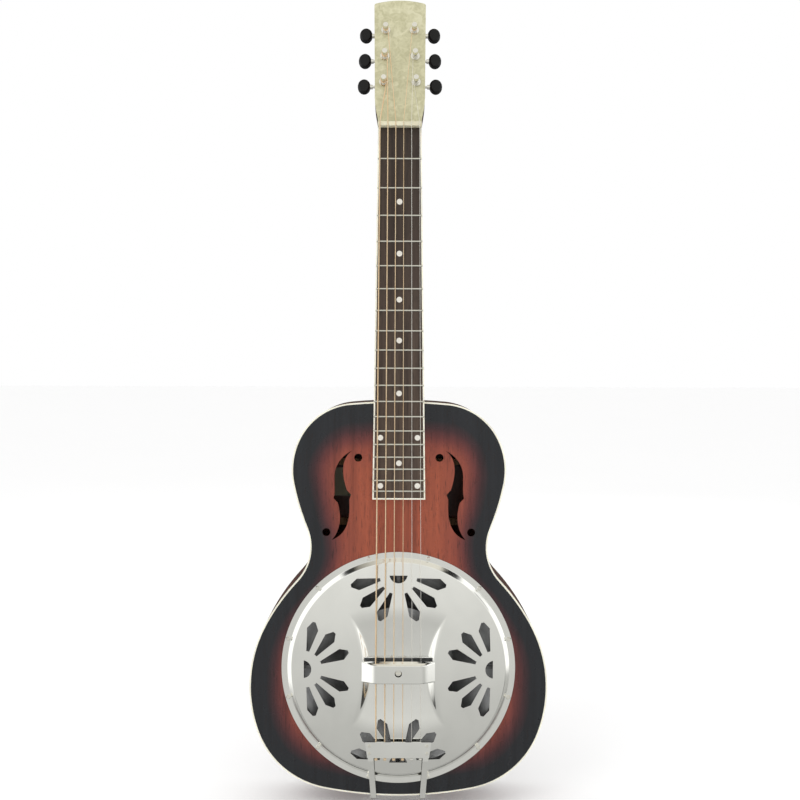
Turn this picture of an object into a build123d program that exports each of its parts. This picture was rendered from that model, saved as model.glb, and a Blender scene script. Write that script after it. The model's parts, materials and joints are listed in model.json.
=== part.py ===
from build123d import *

import math
import os

# A resonator guitar with a square neck, in millimetres.
#
# The parts are modelled lying on the bench: X to the treble side, Y up the neck, Z out of the top.
# Y = 0 is the saddle line, Z = 0 is the outer face of the back. On saving, each part is turned upright,
# so that the neck points along +Z and the strings face -Y.

# ---- driving dimensions ----
SCALE = 635.0                 # nut to saddle
BODY_DEPTH = 83.0
TOP_T = 3.2
BACK_T = 3.0
SIDE_T = 2.5
BINDING_W = 1.8
BINDING_H = 6.0
LINING_W = 6.0
LINING_H = 13.0

BODY_END_Y = SCALE / 2        # the body joins the neck at the octave fret
TOP_Z = BODY_DEPTH
TOP_UNDER_Z = TOP_Z - TOP_T

FRETS = 19
BOARD_T = 6.5
BOARD_END = 433.0             # length of the fingerboard from the nut
BOARD_W_NUT = 50.5
BOARD_TAPER = 0.0273          # widening per millimetre from the nut
BOARD_BINDING_W = 1.7
FRET_W = 2.0
FRET_H = 1.1
DOT_R = 3.3
SINGLE_DOTS = (3, 5, 7, 9, 12, 17)
DOUBLE_DOTS = (15, 19)
DOUBLE_DOT_SPACING = 43.6

NUT_T = 5.0
NUT_RAISE = 10.5              # how far the strings stand above the fingerboard at the nut
NUT_SPREAD = 45.4             # outer string to outer string
SADDLE_SPREAD = 53.4
SADDLE_RISE = 19.0            # saddle crown above the top

NECK_DEPTH_NUT = 30.0
NECK_DEPTH_BODY = 36.0
HEEL_DEPTH = 66.0
HEEL_LENGTH = 42.0

HEAD_TILT = 14.0
HEAD_LENGTH = 159.5
HEAD_T = 16.5
OVERLAY_T = 1.5
HEAD_Y = SCALE + NUT_T        # where the headstock face starts

WELL_R_IN = 131.2
WELL_R_OUT = 138.0
LEDGE_R_IN = 121.0
LEDGE_DROP = 9.0              # depth of the ledge under the face of the top
LEDGE_T = 6.0
CONE_R = 130.0
CONE_T = 0.8
COVER_R = 139.0
COVER_T = 1.0
COVER_BEVEL_TOP_R = 127.3
COVER_BEVEL_FOOT_R = 132.6
COVER_BEVEL_H = 6.5
COVER_CROWN_H = 14.5
COVER_SCREW_R = 135.5
COVER_SCREWS = 12
COVER_SCREW_HEAD_R = 2.7
COVER_SCREW_SHANK_R = 1.5
CHANNEL_FLOOR_H = 7.5
CHANNEL_HALF_W = 43.5
CHANNEL_END_HALF_W = 64.0
CHANNEL_END_Y = 66.0
CHANNEL_FLOOR_R = 343.0
PALM_H = 25.5
PALM_TOP_HALF_W = 29.0
PALM_HALF_L = 11.0
PALM_Y = -1.4                 # the palm rest's middle, a little behind the saddle
PALM_FOOT_H = 13.0
PALM_HOLE_R = 4.2
FAN_R = 112.0                 # middle of each fan's half-moon
FAN_PETALS = (23, 50.5, 77.5)  # angles of three petals from the inward direction, mirrored for the other three
PORT_R = 21.0                 # portholes in the soundwell
PORTS = 8

STRING_DIAMETERS = {6: 1.42, 5: 1.17, 4: 0.91, 3: 0.66, 2: 0.46, 1: 0.41}
STRING_BEND_R = 6.0
NOTCH_CLEAR = 0.1             # room round a string in the nut and the saddle
TAIL_SCREW_X = (-24, 0, 24)    # tailpiece screws, with the strap button between them
TAIL_SPREAD = 0.985           # string spacing at the tailpiece over that at the saddle

TAIL_PLATE_Z = TOP_Z + 14.2
TAIL_PLATE_T = 1.6
TAIL_PLATE_FRONT_Y = -84.5
TAIL_PLATE_REAR_Y = -103.4
TAIL_STRING_DROP = 2.5        # string centre under the plate at the ball end

POST_R = 3.0
POST_X = (19.0, 18.0, 17.0)   # from the nut outwards
POST_U = (52.7, 86.2, 119.9)  # distance from the foot of the headstock face
POST_TOP = 14.8               # over the headstock face
WAIST_R = 2.5                 # the narrow part of a post that the string winds on
WAIST_LOW = 6.0
WAIST_HIGH = 10.0
WORM_OFFSET = 6.6
WORM_R = 2.1
GEAR_R = 4.4
GEAR_TEETH = 13
SHAFT_R = 1.5
RUNNING = 0.05                # radial clearance of shafts in their holes
PLATE_T = 1.2
WORM_W = -(HEAD_T + PLATE_T + 3.4)
SLEEVE_R = 4.6                # bushing sleeve through the headstock
SLEEVE_ROOM = 0.05            # room round it
EAR_X = 7.4                   # ears of a tuner plate, either side of its post
PLATE_SCREW = (7.6, 8.8)      # a plate's screws from its post: sideways, and towards the nut
BUTTON_X = (42.8, 41.9, 40.9)  # from the nut outwards
BUTTON_SIZE = (15.2, 18.0, 8.2)
COLLAR_R = 2.6                # collar on a worm shaft, let into the end of its button
COLLAR_T = 3.2
COLLAR_IN = 8.6               # collar's middle from the button's middle

# The treble half of the body's outline, as tangent arcs from the neck end: (radius, angle turned).
# A negative radius is the hollow of the waist. One more arc, worked out, closes the tail.
OUTLINE_ARCS = (
    (634, 5.2), (75, 55.2), (84, 41.2), (301, 10.4),
    (-59, 65.0), (256, 14.0), (160, 49.1), (106, 58.8),
)

UPRIGHT = Rot(90, 0, 0)
HEAD = Plane(
    origin=(0, HEAD_Y, TOP_Z),
    x_dir=(1, 0, 0),
    z_dir=(0, math.sin(math.radians(HEAD_TILT)), math.cos(math.radians(HEAD_TILT))),
).location


def save(node, *shapes):
    """Write one node's solids, turned upright."""
    solids = [s for shape in shapes for s in shape.solids()]
    export_step(UPRIGHT * Compound(children=solids), f"parts/{node}.step")


def fret_distance(number):
    return SCALE * (1 - 2 ** (-number / 12))


def board_half_width(distance):
    """Half the fingerboard's width at a distance from the nut."""
    return (BOARD_W_NUT + BOARD_TAPER * distance) / 2


def disc(radius, z_low, z_high, x=0.0, y=0.0):
    return Pos(x, y, (z_low + z_high) / 2) * Cylinder(radius, z_high - z_low)


def disc_along_y(radius, y_low, y_high, z, x=0.0):
    return Pos(x, (y_low + y_high) / 2, z) * Rot(90, 0, 0) * Cylinder(radius, y_high - y_low)


def block(x, y, z):
    """A box from three (low, high) pairs."""
    centre = [(a + b) / 2 for a, b in (x, y, z)]
    return Pos(*centre) * Box(x[1] - x[0], y[1] - y[0], z[1] - z[0])


def prism(points, z_low, z_high):
    """A straight-sided solid over a closed outline of (x, y) points."""
    return Pos(0, 0, z_low) * extrude(make_face(Polyline(*points, close=True)), z_high - z_low)


def side_prism(points, x_low, x_high):
    """A solid over a closed outline of (y, z) points, spanning x_low to x_high."""
    face = Plane.YZ * make_face(Polyline(*points, close=True))
    return Pos(x_low, 0, 0) * extrude(face, x_high - x_low, dir=(1, 0, 0))


# ---- body ----
def outline_half(distance):
    """The arcs of the treble half, moved inwards by a distance, as (start, middle, end) points."""
    place, heading, arcs = Vector(0, BODY_END_Y - distance), 0.0, []
    for radius, angle in (*OUTLINE_ARCS, (None, None)):
        across = Vector(math.sin(heading), -math.cos(heading))
        if radius is None:
            reach = -place.X / across.X
            turn = math.pi + heading
        else:
            reach = radius - distance
            turn = math.copysign(math.radians(angle), radius)
        centre = place + across * reach
        half, full = heading - turn / 2, heading - turn
        middle = centre - Vector(math.sin(half), -math.cos(half)) * reach
        end = centre - Vector(math.sin(full), -math.cos(full)) * reach
        arcs.append((place, middle, end))
        place, heading = end, full
    return arcs


TAIL_Y = outline_half(0)[-1][-1].Y


def inset(distance):
    """The body's outline as a face, inset by a distance."""
    half = [ThreePointArc(*arc) for arc in outline_half(distance)]
    return make_face(half + [mirror(arc, about=Plane.YZ) for arc in half])


def slab(distance, z_low, z_high):
    """The body's outline, inset by a distance, between two heights."""
    return Pos(0, 0, z_low) * extrude(inset(distance), z_high - z_low)


def f_hole():
    """The treble side's f-hole, as a face: one curved slot between two round holes."""
    outer = Spline(
        (55.0, 259.2), (68.5, 248.9), (74.6, 238.0), (76.1, 222.0), (76.1, 207.7),
    )
    outer_low = Spline((72.3, 197.2), (70.0, 187.1), (69.9, 174.0), (79.3, 152.9))
    inner_low = Spline((79.3, 152.9), (60.7, 172.9), (58.5, 187.1), (58.5, 201.3))
    inner = Spline((61.5, 212.4), (65.6, 230.0), (64.0, 247.6), (55.0, 259.2))
    slot = make_face([
        outer,
        Polyline((76.1, 207.7), (77.3, 202.5), (72.3, 197.2)),
        outer_low,
        inner_low,
        Polyline((58.5, 201.3), (56.4, 206.8), (61.5, 212.4)),
        inner,
    ])
    upper = Pos(48.0, 250.8) * Circle(4.75)
    lower = Pos(85.8, 162.2) * Circle(4.75)
    return [slot, upper, lower]


def body_top():
    top = slab(BINDING_W, TOP_UNDER_Z, TOP_Z) - disc(WELL_R_IN, TOP_UNDER_Z - 1, TOP_Z + 1)
    for face in f_hole():
        cut = Pos(0, 0, TOP_UNDER_Z - 1) * extrude(face, TOP_T + 2)
        top = top - cut - mirror(cut, about=Plane.YZ)
    for x, y in cover_screw_places():
        top -= disc(COVER_SCREW_SHANK_R, TOP_UNDER_Z - 1, TOP_Z + 1, x, y)
    return top


def body_back():
    return slab(BINDING_W, 0, BACK_T)


def body_sides():
    outer = slab(0, BINDING_H, TOP_Z - BINDING_H) + slab(BINDING_W, BACK_T, TOP_UNDER_Z)
    ring = outer - slab(SIDE_T, 0, TOP_Z)
    for x in TAIL_SCREW_X:
        ring -= disc_along_y(2.0, TAIL_Y - 5, TAIL_Y + 8, TOP_Z / 2, x)
    return ring - tenon()


def binding(z_low, z_high):
    return slab(0, z_low, z_high) - slab(BINDING_W, z_low - 1, z_high + 1)


def linings():
    ring = slab(SIDE_T, BACK_T, TOP_UNDER_Z) - slab(SIDE_T + LINING_W, 0, TOP_Z)
    middle = block((-200, 200), (-200, 400), (BACK_T + LINING_H, TOP_UNDER_Z - LINING_H))
    ends = block((-45, 45), (-160, -130), (0, TOP_Z)) + block((-42, 42), (260, 330), (0, TOP_Z))
    return ring - middle - ends


def tenon():
    """The tongue at the foot of the neck, which is glued into the neck block."""
    return block((-14, 14), (BODY_END_Y - 30, BODY_END_Y + 1), (22, TOP_Z - BINDING_H - 1))


def neck_block():
    space = block((-42, 42), (BODY_END_Y - 52, BODY_END_Y + 5), (BACK_T, TOP_UNDER_Z))
    return (space & slab(SIDE_T, BACK_T, TOP_UNDER_Z)) - tenon()


def tail_block():
    space = block((-45, 45), (TAIL_Y - 5, -WELL_R_OUT - 1), (BACK_T, TOP_UNDER_Z))
    wood = space & slab(SIDE_T, BACK_T, TOP_UNDER_Z)
    for x in TAIL_SCREW_X:
        wood -= disc_along_y(2.0, TAIL_Y - 5, TAIL_Y + 16, TOP_Z / 2, x)
    return wood


def braces():
    """Ladder braces: two under the top, two on the back, above the soundwell."""
    inside = slab(SIDE_T + LINING_W + 0.3, 0, TOP_Z)
    bars = []
    for y in (143.8, 262.0):
        bars.append(block((-200, 200), (y - 3, y + 3), (TOP_UNDER_Z - 11, TOP_UNDER_Z)) & inside)
    for y in (165.0, 240.0):
        bars.append(block((-200, 200), (y - 4, y + 4), (BACK_T, BACK_T + 13)) & inside)
    return bars


def soundwell():
    """A plywood ring from top to back, with portholes, and the ledge that carries the cone."""
    ring = disc(WELL_R_OUT, BACK_T, TOP_UNDER_Z) - disc(WELL_R_IN, 0, TOP_Z)
    for k in range(PORTS):
        hole = Pos(WELL_R_IN, 0, 34) * Rot(0, 90, 0) * Cylinder(PORT_R, 40)
        ring -= Rot(0, 0, 360 / PORTS * k) * hole
    ledge_z = TOP_Z - LEDGE_DROP
    ledge = disc(WELL_R_IN + 1, ledge_z - LEDGE_T, ledge_z) - disc(LEDGE_R_IN, 0, TOP_Z)
    well = ring + ledge
    for x, y in cover_screw_places():
        well -= disc(COVER_SCREW_SHANK_R, TOP_UNDER_Z - 14, TOP_Z, x, y)
    return well


def label():
    return block((-94, -50), (196, 232), (BACK_T, BACK_T + 0.4))


# ---- resonator ----
def cone():
    """A spun cone: flat rim, wall falling to a valley, centre rising to a flat boss."""
    rim_z = TOP_Z - LEDGE_DROP
    upper = [(2.1, rim_z - 5), (9, rim_z - 5), (66, rim_z - 22), (120.0, rim_z), (CONE_R, rim_z)]
    lower = [(r, z + CONE_T) for r, z in reversed(upper)]
    section = Plane.XZ * make_face(Polyline(*upper, *lower, close=True))
    return revolve(section, Axis.Z)


def spider():
    """A cast spider: hub with a saddle slot and eight legs whose feet stand on the cone's rim."""
    foot_z = TOP_Z - LEDGE_DROP + CONE_T
    leg = [
        (10, TOP_Z + 5.5), (26, TOP_Z + 4.5), (118, TOP_Z - 3.2), (128, TOP_Z - 5.0),
        (128, foot_z), (124, foot_z), (121.5, TOP_Z - 6.2), (26, TOP_Z - 1.0), (10, TOP_Z - 2.0),
    ]
    body = disc(17, TOP_Z - 3, TOP_Z + 5.5)
    for k in range(8):
        web = Plane.XZ * make_face(Polyline(*leg, close=True))
        solid = Pos(0, 2.1, 0) * extrude(web, 4.2, dir=(0, -1, 0))
        body += Rot(0, 0, 45 * k) * solid
    body += block((-30, 30), (-4.6, 4.6), (TOP_Z + 1, TOP_Z + 12.5))
    body -= block((-28.5, 28.5), (-1.8, 1.8), (TOP_Z + 6, TOP_Z + 13))
    return body - disc(2.1, TOP_Z - 20, TOP_Z + 20)


def string_x(number, share):
    """A string's sideways place: share 0 at the saddle, 1 at the nut."""
    spread = SADDLE_SPREAD + (NUT_SPREAD - SADDLE_SPREAD) * share
    return spread * (0.5 - (number - 1) / 5)


def saddle():
    """Two maple inserts with a gap for the tension screw, notched for the strings."""
    whole = block((-28.4, 28.4), (-1.75, 1.75), (TOP_Z + 6, TOP_Z + SADDLE_RISE + 0.6))
    whole -= block((-3.0, 3.0), (-3, 3), (TOP_Z, TOP_Z + 30))
    for number, diameter in STRING_DIAMETERS.items():
        z = TOP_Z + SADDLE_RISE + diameter / 2
        x = string_x(number, 0)
        notch = disc_along_y(diameter / 2 + NOTCH_CLEAR, -3, 3, z, x)
        notch += block((x - diameter / 2, x + diameter / 2), (-3, 3), (z, z + 3))
        whole -= notch
    return whole


def tension_screw():
    head = disc(3.4, TOP_Z + 20.0, TOP_Z + 22.6)
    head -= block((-3.6, 3.6), (-0.5, 0.5), (TOP_Z + 21.6, TOP_Z + 23))
    return head + disc(2.0, TOP_Z - 17, TOP_Z + 20.0)


def cover_screw_places():
    step = 360 / COVER_SCREWS
    angles = [math.radians(step / 2 + step * k) for k in range(COVER_SCREWS)]
    return [(COVER_SCREW_R * math.cos(a), COVER_SCREW_R * math.sin(a)) for a in angles]


def dome(drop):
    """The solid under the coverplate's dome and bevel, lowered and narrowed by a wall thickness."""
    crown = COVER_CROWN_H - drop
    edge = COVER_BEVEL_H - drop
    profile = Plane.XZ * make_face([
        Line((0, 0), (COVER_BEVEL_FOOT_R - drop, 0)),
        Line((COVER_BEVEL_FOOT_R - drop, 0), (COVER_BEVEL_TOP_R - drop, edge)),
        ThreePointArc(
            (COVER_BEVEL_TOP_R - drop, edge),
            (COVER_BEVEL_TOP_R / 2, edge + 0.75 * (crown - edge)),
            (0, crown),
        ),
        Line((0, crown), (0, 0)),
    ])
    return Pos(0, 0, TOP_Z) * revolve(profile, Axis.Z)


def channel(drop):
    """What the hourglass channel takes out of the dome: flared walls over a hollow floor."""
    half, end, far = CHANNEL_HALF_W + drop, CHANNEL_END_HALF_W + drop, CHANNEL_END_Y
    face = make_face([
        ThreePointArc((end, -far), (half, 0), (end, far)),
        Line((end, far), (-end, far)),
        ThreePointArc((-end, far), (-half, 0), (-end, -far)),
        Line((-end, -far), (end, -far)),
    ])
    walls = Pos(0, 0, TOP_Z + COVER_CROWN_H - drop) * extrude(face, -14, taper=45)
    floor_r = CHANNEL_FLOOR_R + drop
    floor_z = TOP_Z + CHANNEL_FLOOR_H + CHANNEL_FLOOR_R
    return walls & (Pos(0, 0, floor_z) * Rot(0, 90, 0) * Cylinder(floor_r, 300))


def palm_rest():
    """A folded strap over the saddle, with a hole over the tension screw."""
    foot_z, top_z = TOP_Z + PALM_FOOT_H, TOP_Z + PALM_H
    w, f = PALM_TOP_HALF_W, CHANNEL_HALF_W
    outer = [(-f, foot_z), (-w, top_z), (w, top_z), (f, foot_z)]
    under_z = top_z - 1.2
    inner = [(f - 2.0, foot_z), (w - 0.4, under_z), (0.4 - w, under_z), (2.0 - f, foot_z)]
    section = Plane.XZ * make_face(Polyline(*outer, *inner, close=True))
    strap = extrude(section, PALM_HALF_L, both=True) - disc(PALM_HOLE_R, TOP_Z + 20, TOP_Z + 30)
    return Pos(0, PALM_Y, 0) * strap


def petal(angle):
    """One hexagonal petal pointing away from the middle of its half-moon, at an angle from inward."""
    points = [(-1.75, 22), (1.75, 22), (6.85, 49), (1.75, 57.5), (-1.75, 57.5), (-6.85, 49)]
    return Rot(0, 0, angle) * prism(points, TOP_Z - 1, TOP_Z + 30)


def fan():
    """Six petals and the half-moon of the treble side's fan."""
    moon = disc(10.8, TOP_Z - 1, TOP_Z + 30) & block((-20, 20), (1.8, 20), (TOP_Z - 1, TOP_Z + 30))
    cuts = Pos(0, -1.8, 0) * moon
    for angle in FAN_PETALS:
        cuts = cuts + petal(angle) + petal(-angle)
    return Pos(FAN_R, 0, 0) * Rot(0, 0, 90) * cuts


def coverplate():
    outer = dome(0) - channel(0)
    inner = dome(COVER_T) - channel(COVER_T)
    rim = disc(COVER_R, TOP_Z, TOP_Z + COVER_T)
    rim -= disc(COVER_BEVEL_FOOT_R - 1, TOP_Z - 1, TOP_Z + 3)
    plate = (outer - inner) + rim
    plate -= block((-40.5, 40.5), (-14, 14), (TOP_Z, TOP_Z + 12.6))
    plate += palm_rest()
    cuts = fan()
    for k in range(4):
        plate -= Rot(0, 0, 90 * k) * cuts
    for x, y in cover_screw_places():
        plate -= disc(1.6, TOP_Z - 1, TOP_Z + 3, x, y)
    return plate


def coverplate_screws():
    screws = []
    for x, y in cover_screw_places():
        dome_head = Sphere(COVER_SCREW_HEAD_R) & Pos(0, 0, 5) * Box(10, 10, 10)
        head = Pos(x, y, TOP_Z + COVER_T) * dome_head
        head = head - disc(5, TOP_Z + COVER_T + 1.7, TOP_Z + 9, x, y)
        slot = Pos(x, y, TOP_Z + COVER_T + 1.6) * Box(5, 0.7, 1.2)
        shank = disc(COVER_SCREW_SHANK_R, TOP_Z - 11, TOP_Z + COVER_T, x, y)
        screws.append(head - slot + shank)
    return screws


# ---- neck ----
def neck_side():
    """The neck and headstock seen from the side, as a solid wider than the neck."""
    tilt = math.radians(HEAD_TILT)
    c, s = math.cos(tilt), math.sin(tilt)

    def head_point(u, w):
        return (HEAD_Y + u * c + w * s, TOP_Z - u * s + w * c)

    z_nut, z_body = TOP_Z - NECK_DEPTH_NUT, TOP_Z - NECK_DEPTH_BODY
    start = (HEAD_Y - 24, z_nut)
    end = head_point(26, -HEAD_T)
    face = make_face([
        Polyline((BODY_END_Y - 2, TOP_Z), (HEAD_Y, TOP_Z), head_point(HEAD_LENGTH + 9, 0)),
        Polyline(head_point(HEAD_LENGTH + 9, 0), head_point(HEAD_LENGTH + 9, -HEAD_T), end),
        Spline(start, end, tangents=[(1, 0), (c, -s)]),
        Line(start, (BODY_END_Y + HEEL_LENGTH, z_body)),
        Spline(
            (BODY_END_Y + HEEL_LENGTH, z_body),
            (BODY_END_Y + 4, TOP_Z - HEEL_DEPTH),
            tangents=[(-1, 0), (-0.35, -1)],
        ),
        Polyline(
            (BODY_END_Y + 4, TOP_Z - HEEL_DEPTH),
            (BODY_END_Y - 2, TOP_Z - HEEL_DEPTH),
            (BODY_END_Y - 2, TOP_Z),
        ),
    ])
    return extrude(Plane.YZ * face, 45, both=True)


def head_outline():
    """The headstock's face in its own plane: a short flare, near-parallel sides and an arched tip."""
    w0, w1, w2 = BOARD_W_NUT / 2, 29.3, 30.7
    end = HEAD_LENGTH
    side = Spline((w0, 0), (27.4, 15), (w1, 34), tangents=[(0, 1), (0.02, 1)])
    face = make_face([
        Line((-w0, 0), (w0, 0)),
        side,
        Line((w1, 34), (w2, end - 4.5)),
        ThreePointArc((w2, end - 4.5), (0, end), (-w2, end - 4.5)),
        Line((-w2, end - 4.5), (-w1, 34)),
        mirror(side, about=Plane.YZ),
    ])
    corners = face.vertices().sort_by(Axis.Y)[-2:]
    return fillet(corners, 3)


def neck():
    blank = neck_side()
    near, far = board_half_width(0), board_half_width(BODY_END_Y + 2)
    low_y = BODY_END_Y - 2
    shaft = prism([(-far, low_y), (far, low_y), (near, HEAD_Y), (-near, HEAD_Y)], 0, TOP_Z + 1)
    head = HEAD * Pos(0, 0, -45) * extrude(head_outline(), 50)
    wood = (blank & shaft) + (blank & head)
    wood -= slab(0, 0, TOP_Z)
    wood += tenon()
    for x, u in post_places():
        wood -= HEAD * disc(SLEEVE_R + SLEEVE_ROOM, -HEAD_T - 1, 1, x, u)
    for number in STRING_DIAMETERS:
        for x, u in tuner_screw_places(number):
            wood -= HEAD * disc(1.2, -HEAD_T - 1, -HEAD_T + 8, x, u)
    return wood


def headstock_overlay():
    plate = HEAD * extrude(head_outline(), OVERLAY_T)
    plate -= block((-40, 40), (HEAD_Y - 10, HEAD_Y), (0, 200))
    for x, u in post_places():
        plate -= HEAD * disc(SLEEVE_R + SLEEVE_ROOM, -1, 4, x, u)
    return plate


def board_blank(edge, end_edge, z_low, z_high):
    """The fingerboard's plan, inset along its sides and its body end."""
    last = BOARD_END - end_edge
    near, far = board_half_width(0) - edge, board_half_width(last) - edge
    y_far = SCALE - last
    return prism([(-far, y_far), (far, y_far), (near, SCALE), (-near, SCALE)], z_low, z_high)


def dot_places():
    """(x, y) of each inlay, midway between the frets on either side."""
    places = []
    for number in SINGLE_DOTS + DOUBLE_DOTS:
        y = SCALE - (fret_distance(number - 1) + fret_distance(number)) / 2
        half = 0 if number in SINGLE_DOTS else DOUBLE_DOT_SPACING / 2
        places += [(x, y) for x in sorted({-half, half})]
    return places


def fret_tangs(height):
    tangs = []
    for number in range(1, FRETS + 1):
        distance = fret_distance(number)
        half = board_half_width(distance) - BOARD_BINDING_W - 0.3
        y = SCALE - distance
        depth = (TOP_Z + BOARD_T - 2, TOP_Z + BOARD_T + height)
        tangs.append(block((-half, half), (y - 0.3, y + 0.3), depth))
    return tangs


def fingerboard():
    wood = board_blank(BOARD_BINDING_W, BOARD_BINDING_W, TOP_Z, TOP_Z + BOARD_T)
    for tang in fret_tangs(1):
        wood -= tang
    for x, y in dot_places():
        wood -= disc(DOT_R, TOP_Z + BOARD_T - 1.2, TOP_Z + BOARD_T + 1, x, y)
    return wood


def fingerboard_binding():
    whole = board_blank(0, 0, TOP_Z, TOP_Z + BOARD_T)
    return whole - board_blank(BOARD_BINDING_W, BOARD_BINDING_W, TOP_Z - 1, TOP_Z + 30)


def frets():
    wires = []
    tangs = fret_tangs(0)
    for number, tang in zip(range(1, FRETS + 1), tangs):
        distance = fret_distance(number)
        half = board_half_width(distance) - 0.6
        y, z = SCALE - distance, TOP_Z + BOARD_T
        crown = block((-half, half), (y - FRET_W / 2, y + FRET_W / 2), (z, z + FRET_H))
        crown = fillet(crown.edges().filter_by(Axis.X).sort_by(Axis.Z)[-2:], 0.85)
        wires.append(crown + tang)
    return wires


def position_dots():
    z = TOP_Z + BOARD_T
    return [disc(DOT_R, z - 1.2, z, x, y) for x, y in dot_places()]


def nut():
    half = BOARD_W_NUT / 2
    length = (SCALE, SCALE + NUT_T)
    bone = block((-half, half), length, (TOP_Z, TOP_Z + BOARD_T + NUT_RAISE + 0.5))
    bone = fillet(bone.edges().filter_by(Axis.X).sort_by(Axis.Z)[-2:], 0.8)
    for number, diameter in STRING_DIAMETERS.items():
        x, z = string_x(number, 1), TOP_Z + BOARD_T + NUT_RAISE + diameter / 2
        past = (SCALE - 1, SCALE + NUT_T + 1)
        bone -= disc_along_y(diameter / 2 + NOTCH_CLEAR, *past, z, x)
        bone -= block((x - diameter / 2, x + diameter / 2), past, (z, z + 3))
    return bone


# ---- tuners ----
def post_places():
    return [(side * x, u) for side in (-1, 1) for x, u in zip(POST_X, POST_U)]


def tuner_row(number):
    """0 next to the nut. 6, 5, 4 go up the bass side and 1, 2, 3 up the treble side."""
    return 6 - number if number > 3 else number - 1


def tuner_side(number):
    return -1 if number > 3 else 1


def post_place(number):
    """(x, u) of a string post."""
    row = tuner_row(number)
    return tuner_side(number) * POST_X[row], POST_U[row]


def tuner_plate(number):
    """A plate under the headstock, with two ears that carry the worm shaft."""
    x, u = post_place(number)
    back = -HEAD_T
    plate = block((x - 11, x + 11), (u - 12, u + 15.5), (back - PLATE_T, back))
    plate = fillet(plate.edges().filter_by(Axis.Z), 2.5)
    for ear_x in (x - EAR_X, x + EAR_X):
        u_worm = u + WORM_OFFSET
        height = (WORM_W - 3.6, back - PLATE_T)
        ear = block((ear_x - 0.7, ear_x + 0.7), (u_worm - 3.6, u_worm + 3.6), height)
        plate += fillet(ear.edges().filter_by(Axis.X).sort_by(Axis.Z)[:2], 3.0)
        plate -= Pos(ear_x, u_worm, WORM_W) * Rot(0, 90, 0) * Cylinder(SHAFT_R + RUNNING, 6)
    plate -= disc(POST_R + RUNNING, -HEAD_T - 5, 0, x, u)
    for screw_x, screw_u in tuner_screw_places(number):
        plate -= disc(1.3, -HEAD_T - 5, 0, screw_x, screw_u)
    return HEAD * plate


def tuner_screw_places(number):
    x, u = post_place(number)
    sideways, down = PLATE_SCREW
    return [(x - sideways, u - down), (x + sideways, u - down)]


def tuner_screws():
    screws = []
    for number in STRING_DIAMETERS:
        for x, u in tuner_screw_places(number):
            low = -HEAD_T - PLATE_T
            head = Pos(x, u, low) * (Sphere(2.4) & Pos(0, 0, -5) * Box(10, 10, 10))
            head -= disc(4, low - 6, low - 1.3, x, u)
            head -= Pos(x, u, low - 1.3) * Box(4, 0.6, 1.0)
            screws.append(HEAD * (head + disc(1.2, low, -HEAD_T + 8, x, u)))
    return screws


def tuner_bushing(number):
    x, u = post_place(number)
    sleeve = disc(SLEEVE_R, -HEAD_T, OVERLAY_T, x, u)
    sleeve += disc(5.4, OVERLAY_T, OVERLAY_T + 1.6, x, u)
    return HEAD * (sleeve - disc(POST_R + RUNNING, -HEAD_T - 1, 5, x, u))


def tuner_post(number):
    """The string post with its worm gear and the screw that holds the gear."""
    x, u = post_place(number)
    post = disc(POST_R, -HEAD_T - PLATE_T - 1.0, POST_TOP, x, u)
    post -= Pos(x, u, (WAIST_LOW + WAIST_HIGH) / 2) * Rot(90, 0, 0) * Cylinder(0.9, 12)
    waist = disc(POST_R + 2, WAIST_LOW, WAIST_HIGH, x, u) - disc(WAIST_R, 5, 11, x, u)
    post -= waist
    gear = disc(GEAR_R, WORM_W - 2.0, WORM_W + 2.0, x, u)
    for k in range(GEAR_TEETH):
        tooth_gap = Rot(0, 0, 360 / GEAR_TEETH * k) * Pos(GEAR_R, 0, 0) * Box(1.8, 1.1, 10)
        gear -= Pos(x, u, WORM_W) * tooth_gap
    gear_screw = disc(1.8, WORM_W - 3.2, WORM_W, x, u)
    spacer = disc(2.4, WORM_W, -HEAD_T - PLATE_T, x, u)
    return HEAD * (post + gear + gear_screw + spacer)


def tuner_worm_shaft(number):
    """The shaft, with its worm between the ears and a collar outside them."""
    side = tuner_side(number)
    x, u = post_place(number)
    button_x = BUTTON_X[tuner_row(number)]
    low, high = sorted((side * (abs(x) - EAR_X - 2), side * (button_x + 2)))
    turn = Rot(0, 90, 0)
    shaft = Pos((low + high) / 2, 0, 0) * turn * Cylinder(SHAFT_R, high - low)
    worm = Pos(x, 0, 0) * turn * Cylinder(WORM_R, 12.8)
    for k in range(-3, 4):
        groove = turn * (Cylinder(WORM_R + 1, 0.8) - Cylinder(WORM_R - 0.6, 2))
        worm -= Pos(x + 1.8 * k, 0, 0) * Rot(0, 0, 6) * groove
    collar = Pos(side * (button_x - COLLAR_IN), 0, 0) * turn * Cylinder(COLLAR_R, COLLAR_T)
    return HEAD * Pos(0, u + WORM_OFFSET, WORM_W) * (shaft + worm + collar)


def tuner_button(number):
    """An oval button, thinner towards its rim."""
    side = tuner_side(number)
    _, u = post_place(number)
    button_x = BUTTON_X[tuner_row(number)]
    length, width, thick = BUTTON_SIZE
    turn = Rot(0, 90, 0)
    knob = extrude(Ellipse(length / 2, width / 2), thick / 2, both=True)
    knob = Pos(side * button_x, 0, 0) * fillet(knob.edges(), 3.0)
    knob -= Pos(side * (button_x - 3), 0, 0) * turn * Cylinder(SHAFT_R, 10)
    knob -= Pos(side * (button_x - COLLAR_IN), 0, 0) * turn * Cylinder(COLLAR_R, COLLAR_T)
    return HEAD * Pos(0, u + WORM_OFFSET, WORM_W) * knob


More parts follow.
